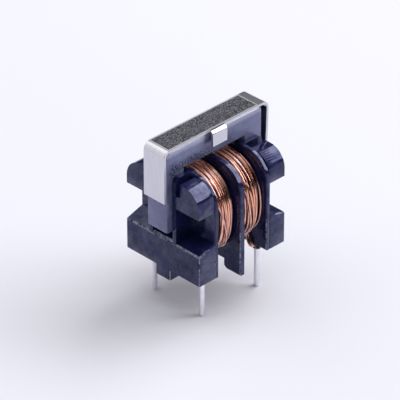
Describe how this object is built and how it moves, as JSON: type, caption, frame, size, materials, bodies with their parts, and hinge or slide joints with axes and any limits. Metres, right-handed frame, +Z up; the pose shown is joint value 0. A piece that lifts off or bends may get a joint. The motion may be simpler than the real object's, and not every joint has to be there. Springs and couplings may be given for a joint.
{
  "type": "common mode choke",
  "caption": "Upright common mode choke: wound two-chamber bobbin on a closed U-core ring held by a spring clip, with through-hole pins.",
  "frame": {"origin": "centre of the four-pin pattern on the seating plane, where the centre flange's feet meet the board", "axes": "+Z up away from the board, +X along the winding axis and the core's lower leg, +Y towards the face without the clip's tab"},
  "size_m": [0.015, 0.0108, 0.0202],
  "materials": {
    "bobbin": "semi-gloss moulded black plastic",
    "ferrite": "varnished sintered ferrite",
    "clip_steel": "bright rolled spring steel",
    "winding": "clear enamel over copper wire",
    "pin_tin": "matt tin plate",
    "solder": "dull solder over wire wraps"
  },
  "bodies": {
    "root": {"bobbin": "bobbin", "core_left": "ferrite", "core_right": "ferrite", "clip": "clip_steel", "winding_left": "winding", "winding_right": "winding", "pin_left_front": "pin_tin", "pin_left_back": "pin_tin", "pin_right_front": "pin_tin", "pin_right_back": "pin_tin", "solder_left_front": "solder", "solder_left_back": "solder", "solder_right_front": "solder", "solder_right_back": "solder"}
  },
  "joints": []
}
